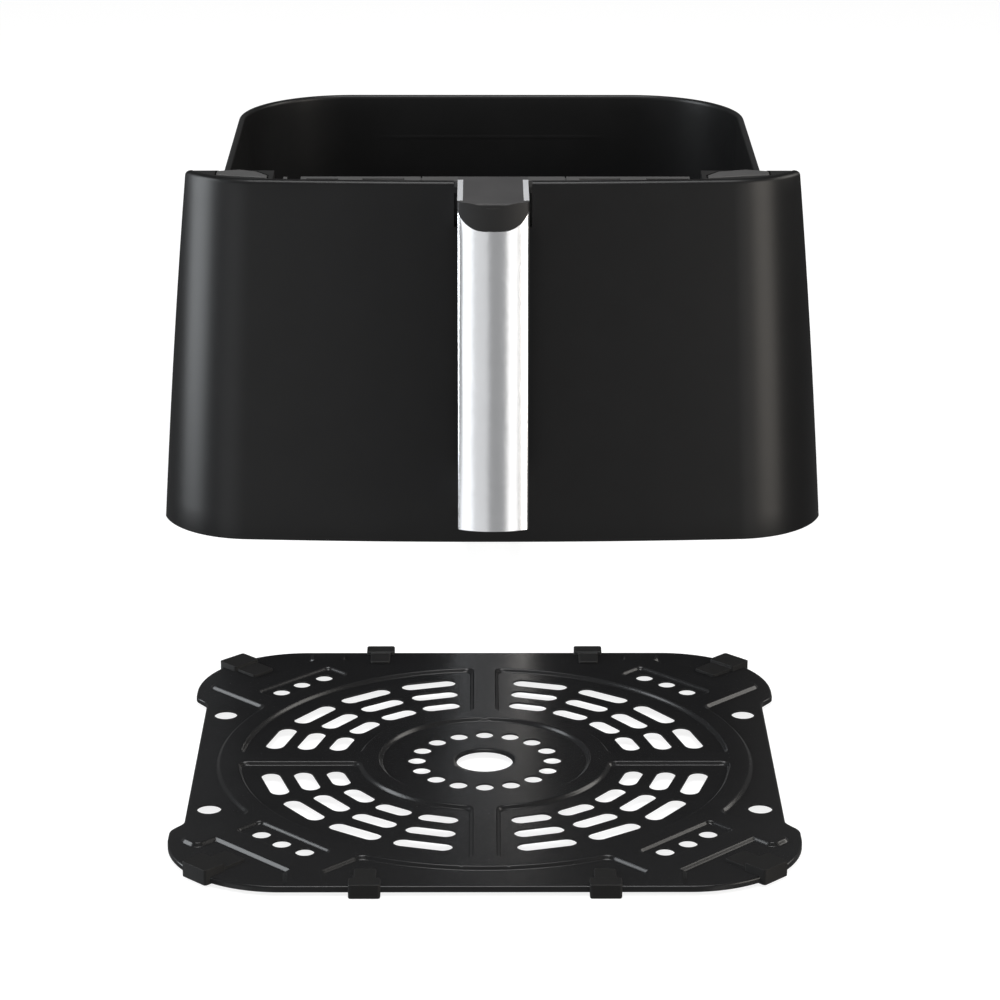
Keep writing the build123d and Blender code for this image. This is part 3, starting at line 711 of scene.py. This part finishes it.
def nearest_ramp(x, y):
    """Distance to the middle of the nearest pressed ramp, and how it changes along X and along Y."""
    small = 0.001 * MM
    every = np.arange(len(x))
    parts = np.array(press_distances(x, y))
    nearest = np.abs(parts).argmin(axis=0)
    distance = parts[nearest, every]
    along_x = np.array(press_distances(x + small, y))[nearest, every]
    along_y = np.array(press_distances(x, y + small))[nearest, every]
    return distance, (along_x - distance) / small, (along_y - distance) / small


def plate_points(width, depth):
    """Plan points of the sheet: fine and lined up along every ramp, coarse where it is flat."""
    nx, ny = int(width / FINE) + 2, int(depth / FINE) + 2
    ix, iy = np.meshgrid(np.arange(-nx // 2, nx // 2 + 1), np.arange(-ny // 2, ny // 2 + 1))
    x = ((ix + 0.5 * (iy % 2)) * FINE).ravel()
    y = (iy * FINE * FINE_ROW).ravel()
    coarse = ((ix % COARSE_EVERY == 0) & (iy % COARSE_EVERY == 0)).ravel()
    distance, slope_x, slope_y = nearest_ramp(x, y)
    levels = np.array(RAMP_ROWS) * RAMP
    level = levels[np.abs(distance[None, :] - levels[:, None]).argmin(axis=0)]
    busy = np.abs(distance) < 0.75 * RAMP
    move = np.where(busy, level - distance, 0.0)
    length = np.maximum(np.hypot(slope_x, slope_y), 0.3)
    x = x + move * slope_x / length ** 2
    y = y + move * slope_y / length ** 2
    keep = busy | coarse
    return x[keep], y[keep]


def thin_out(x, y, cell):
    """Drops points that share a small cell with another."""
    keys = np.round(np.column_stack([x, y]) / cell).astype(int)
    order = np.unique(keys, axis=0, return_index=True)[1]
    return x[np.sort(order)], y[np.sort(order)]


def on_sheet(x, y, width, depth, holes, margin=0.0):
    """True inside the outline and more than a margin away from every hole."""
    inside = inside_outline(x, y, width, depth)
    for loop, distance in holes:
        inside &= distance(x, y) > margin
    return inside


def field_points(width, depth, outline, holes):
    """Plan points of the sheet away from its edge and its holes."""
    x, y = thin_out(*plate_points(width, depth), SMALLEST_CELL)
    inside = on_sheet(x, y, width, depth, holes, margin=0.8 * MM)
    inside &= edge_distance(x, y, outline) > 1.3 * MM
    return np.column_stack([x[inside], y[inside]])


def loop_edges(loops):
    """Pairs of neighbouring points round each closed loop, numbered through all the loops."""
    edges = []
    first = 0
    for loop in loops:
        edges += [(first + i, first + (i + 1) % len(loop)) for i in range(len(loop))]
        first += len(loop)
    return edges


def plate_plan(width, depth):
    """Triangles of the sheet in plan, as (points, triangles, outline)."""
    outline = plate_outline(width, depth)
    holes = plate_holes()
    loops = [outline] + [loop for loop, distance in holes]
    rows = [inset_ring(outline, amount) for amount in EDGE_ROWS]
    rows += [inset_ring(loop, -HOLE_ROW) for loop in loops[1:]]
    rows.append(circle_points(0.0, 0.0, LIFT_HOLE + LIP_ROW))
    rows.append(field_points(width, depth, outline, holes))
    points = [Vector(point) for point in np.vstack(loops + rows)]
    result = delaunay_2d_cdt(points, loop_edges(loops), [], 0, 0.0001 * MM)
    plan = np.array([tuple(point) for point in result[0]])
    triangles = np.array([face for face in result[2] if len(face) == 3])
    middle_x, middle_y = plan[triangles].mean(axis=1).T
    return plan, triangles[on_sheet(middle_x, middle_y, width, depth, holes)], outline


def inset_ring(outline, amount):
    """Points a little inside a counter-clockwise loop, or outside it if the amount is negative."""
    before, after = np.roll(outline, 1, axis=0), np.roll(outline, -1, axis=0)
    along = after - before
    normal = np.column_stack([-along[:, 1], along[:, 0]]) / np.hypot(*along.T)[:, None]
    return outline + normal * amount


def unit(rows):
    """Each row scaled to a length of one."""
    return rows / np.maximum(np.linalg.norm(rows, axis=1), 1e-9)[:, None]


def upper_normals(x, y, outline):
    """Normals of the sheet's upper face, from the slope of its height."""
    tiny = 0.01 * MM
    here = plate_height(x, y, edge_distance(x, y, outline))
    slope_x = (plate_height(x + tiny, y, edge_distance(x + tiny, y, outline)) - here) / tiny
    slope_y = (plate_height(x, y + tiny, edge_distance(x, y + tiny, outline)) - here) / tiny
    return unit(np.column_stack([-slope_x, -slope_y, np.ones(len(x))]))


def press_normals(mesh, centre, outline):
    """Gives the pressed faces their exact normals, so that the narrow ramps shade smoothly."""
    places = np.empty(len(mesh.vertices) * 3)
    mesh.vertices.foreach_get("co", places)
    x, y = places.reshape(-1, 3)[:, 0] - centre.x, places.reshape(-1, 3)[:, 1] - centre.y
    edge = edge_distance(x, y, outline)
    inward = np.where(edge < ON_EDGE, PULL_IN, 1.0)
    exact = upper_normals(x * inward, y * inward, outline)
    level = unit(exact * [1, 1, 0])

    corner = np.empty(len(mesh.loops), int)
    mesh.loops.foreach_get("vertex_index", corner)
    sizes = np.array([len(polygon.vertices) for polygon in mesh.polygons])
    starts = np.concatenate([[0], np.cumsum(sizes)[:-1]])
    flat = np.empty(len(mesh.polygons) * 3)
    mesh.polygons.foreach_get("normal", flat)
    normals = np.repeat(flat.reshape(-1, 3), sizes, axis=0)
    near_edge = np.repeat(np.minimum.reduceat(edge[corner], starts), sizes)
    top = normals[:, 2] > LEVEL_NORMAL
    underside = (normals[:, 2] < -LEVEL_NORMAL) & (near_edge > 1.0 * MM)
    cut_edge = (np.abs(normals[:, 2]) < LEVEL_NORMAL) & (edge[corner] < ON_EDGE)
    normals[top] = exact[corner][top]
    normals[underside] = -exact[corner][underside]
    normals[cut_edge] = level[corner][cut_edge]
    mesh.normals_split_custom_set(normals.tolist())


def sheet_faces(triangles, count):
    """The upper triangles, the same ones below them, and walls along every free side."""
    faces = [tuple(corners) for corners in triangles]
    faces += [tuple(corner + count for corner in reversed(corners)) for corners in triangles]
    sides = {(a, b) for corners in triangles for a, b in zip(corners, corners[1:] + corners[:1])}
    faces += [(b, a, a + count, b + count) for a, b in sorted(sides) if (b, a) not in sides]
    return faces


def make_plate():
    """The pressed sheet with its holes, rings, arms and turned-down edge."""
    low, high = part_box("crisper_plate")
    centre = (low + high) / 2
    width, depth = high.x - low.x, high.y - low.y
    plan, triangles, outline = plate_plan(width, depth)
    x, y = plan.T
    edge = edge_distance(x, y, outline)
    top = low.z + EDGE_TURN + PLATE_T + plate_height(x, y, edge)
    bottom = np.where(edge < PLATE_T, low.z, top - PLATE_T)
    upper = np.column_stack([x + centre.x, y + centre.y, top])
    lower = np.column_stack([x + centre.x, y + centre.y, bottom])
    mesh = mesh_from(np.vstack([upper, lower]), sheet_faces(triangles.tolist(), len(plan)))
    piece = add_piece("pressed_plate", mesh, "crisper_plate", PLATE, sharp=50.0)
    press_normals(piece.data, centre, outline)


# --- floor, lights and camera -------------------------------------------------------------------

CAMERA_BACK = 1.53255         # in front of the cover's foremost edge
CAMERA_UP = 0.5325            # above the surface under the part
CAMERA_SIDE = -0.00583
CAMERA_PITCH = 71.51          # degrees from looking straight down
CAMERA_TURN = -0.0059         # radians
CAMERA_ROLL = 0.0016
CAMERA_LENS = 130.07          # mm, on a sensor 36 mm wide
FLOOR_HALF = 12.0
FLOOR_GLOW = 0.85
ROOM_GLOW = (0.12, 0.33)      # radiance behind the part and towards the camera
ROOM_BLEND = (0.3, -0.9)      # Y of a direction where the first ends and where the second is reached
TOP_SIZE = (0.75, 0.75)
TOP_PLACE = (0.0, -0.42, 1.5)
TOP_GLOW = 7.3
AIM = (0.0, -0.16)            # where the upright lights face, in plan
SOFTBOXES = [   # name, turn from -Y towards +X, distance, width, (low, high), radiance, colour
    ("left_softbox", -86, 1.30, 0.66, (-0.20, 1.15), 7.6, (0.93, 0.97, 1.0)),
    ("right_softbox", 54, 1.40, 0.60, (-0.30, 0.95), 4.2, (1.0, 0.94, 0.86)),
    ("right_back_softbox", 100, 1.30, 0.60, (0.35, 1.25), 4.5, (1.0, 0.97, 0.92)),
    ("left_panel", -38, 1.60, 0.62, (-0.6, 0.5), 1.05, (0.96, 0.98, 1.0)),
    ("left_fill", -16, 1.60, 0.55, (-0.6, 0.5), 0.42, (1.0, 1.0, 1.0)),
    ("right_panel", 27, 1.60, 0.42, (-0.6, 0.5), 1.1, (1.0, 0.98, 0.95)),
]


def make_floor():
    """A wide, plain, pale floor that neither casts a shadow nor lights the part from below."""
    mesh = bpy.data.meshes.new("floor")
    corners = [(-1, -1), (1, -1), (1, 1), (-1, 1)]
    vertices = [(FLOOR_HALF * x, FLOOR_HALF * y, cad_low.z) for x, y in corners]
    mesh.from_pydata(vertices, [], [(0, 1, 2, 3)])
    floor = bpy.data.objects.new("floor", mesh)
    bpy.context.scene.collection.objects.link(floor)
    pale = bpy.data.materials.new("pale_floor")
    pale.use_nodes = True
    surface = pale.node_tree.nodes["Principled BSDF"]
    surface.inputs["Base Color"].default_value = (0.30, 0.30, 0.30, 1)
    surface.inputs["Roughness"].default_value = 0.9
    surface.inputs["Specular IOR Level"].default_value = 0.0
    surface.inputs["Emission Color"].default_value = (1, 1, 1, 1)
    surface.inputs["Emission Strength"].default_value = FLOOR_GLOW
    mesh.materials.append(pale)
    floor.visible_glossy = False
    floor.visible_diffuse = False
    floor.visible_shadow = False


def area_light(name, width, height, glow, place):
    """A rectangle of even radiance that the camera doesn't see, facing down."""
    data = bpy.data.lights.new(name, "AREA")
    data.shape = "RECTANGLE"
    data.size = width
    data.size_y = height
    data.energy = glow * pi * width * height
    light = bpy.data.objects.new(name, data)
    light.location = place
    light.visible_camera = False
    bpy.context.scene.collection.objects.link(light)
    return light


def softbox(name, turn, distance, width, heights, glow, color):
    """An upright light that faces AIM, turned about it from the front (-Y) towards the right (+X)."""
    angle = radians(turn)
    low, high = heights
    place = Vector((AIM[0] + distance * sin(angle), AIM[1] - distance * cos(angle), (low + high) / 2))
    light = area_light(name, width, high - low, glow, place)
    light.data.color = color
    aim = Vector((*AIM, place.z)) - place
    light.rotation_euler = aim.to_track_quat("-Z", "Y").to_euler()


def make_lights():
    for row in SOFTBOXES:
        softbox(*row)
    area_light("top_softbox", *TOP_SIZE, TOP_GLOW, TOP_PLACE)


def make_world():
    """White behind everything, and a grey room that is brighter towards the camera."""
    world = bpy.data.worlds.new("studio")
    bpy.context.scene.world = world
    world.use_nodes = True
    tree = world.node_tree
    direction = add_node(tree, "ShaderNodeTexCoord").outputs["Generated"]
    axes = add_node(tree, "ShaderNodeSeparateXYZ")
    tree.links.new(direction, axes.inputs[0])
    shade = add_node(tree, "ShaderNodeMapRange", interpolation_type="SMOOTHSTEP",
                     From_Min=ROOM_BLEND[0], From_Max=ROOM_BLEND[1],
                     To_Min=ROOM_GLOW[0], To_Max=ROOM_GLOW[1])
    tree.links.new(axes.outputs["Y"], shade.inputs["Value"])
    grey = tree.nodes["Background"]
    tree.links.new(shade.outputs["Result"], grey.inputs["Color"])
    white = add_node(tree, "ShaderNodeBackground", Color=(1, 1, 1, 1))
    mix = add_node(tree, "ShaderNodeMixShader")
    path = add_node(tree, "ShaderNodeLightPath")
    tree.links.new(path.outputs["Is Camera Ray"], mix.inputs["Fac"])
    tree.links.new(grey.outputs["Background"], mix.inputs[1])
    tree.links.new(white.outputs["Background"], mix.inputs[2])
    tree.links.new(mix.outputs["Shader"], tree.nodes["World Output"].inputs["Surface"])


def make_camera():
    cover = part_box("front_cover")[0]
    data = bpy.data.cameras.new("camera")
    data.lens = CAMERA_LENS
    data.sensor_width = 36.0
    data.clip_end = 50.0
    camera = bpy.data.objects.new("camera", data)
    camera.location = (CAMERA_SIDE, cover.y - CAMERA_BACK, CAMERA_UP)
    pose = Matrix.Rotation(CAMERA_TURN, 3, "Z") @ Matrix.Rotation(radians(CAMERA_PITCH), 3, "X")
    camera.rotation_euler = (pose @ Matrix.Rotation(CAMERA_ROLL, 3, "Z")).to_euler()
    bpy.context.scene.collection.objects.link(camera)
    bpy.context.scene.camera = camera


# --- the scene ----------------------------------------------------------------------------------


ROUNDED = [   # piece, CAD node, rounding of its edges in mm
    ("handle_skin", "handle_shell", 0.35),
    ("handle_top", "handle_cap", 0.4),
    ("vent_trim", "top_vent_strip", 0.3),
    ("left_pad", "left_shoulder", 0.3),
    ("right_pad", "right_shoulder", 0.3),
    ("tab_blade", "switch_tab", 0.2),
]
CLIP_EDGE = 0.4 * MM          # rounding of the silicone clips


def dress_cad_nodes():
    """Gives every CAD node its material, whether it stays visible or not."""
    for node, piece in frame["nodes"].items():
        piece.data.materials.clear()
        piece.data.materials.append(MATERIALS[SLOT_OF[node]])


def main():
    scene = bpy.context.scene
    scene.view_settings.view_transform = "Standard"
    scene.view_settings.look = "None"
    dress_cad_nodes()
    make_camera()
    make_floor()
    make_lights()
    make_world()
    make_basket()
    make_cover()
    for name, node, edge in ROUNDED:
        rounded_copy(name, node, DRAWER, edge * MM)
    make_plate()
    for node in frame["nodes"]:
        if "bumper" in node:
            rounded_copy(node.replace("bumper", "clip"), node, PLATE, CLIP_EDGE)


main()
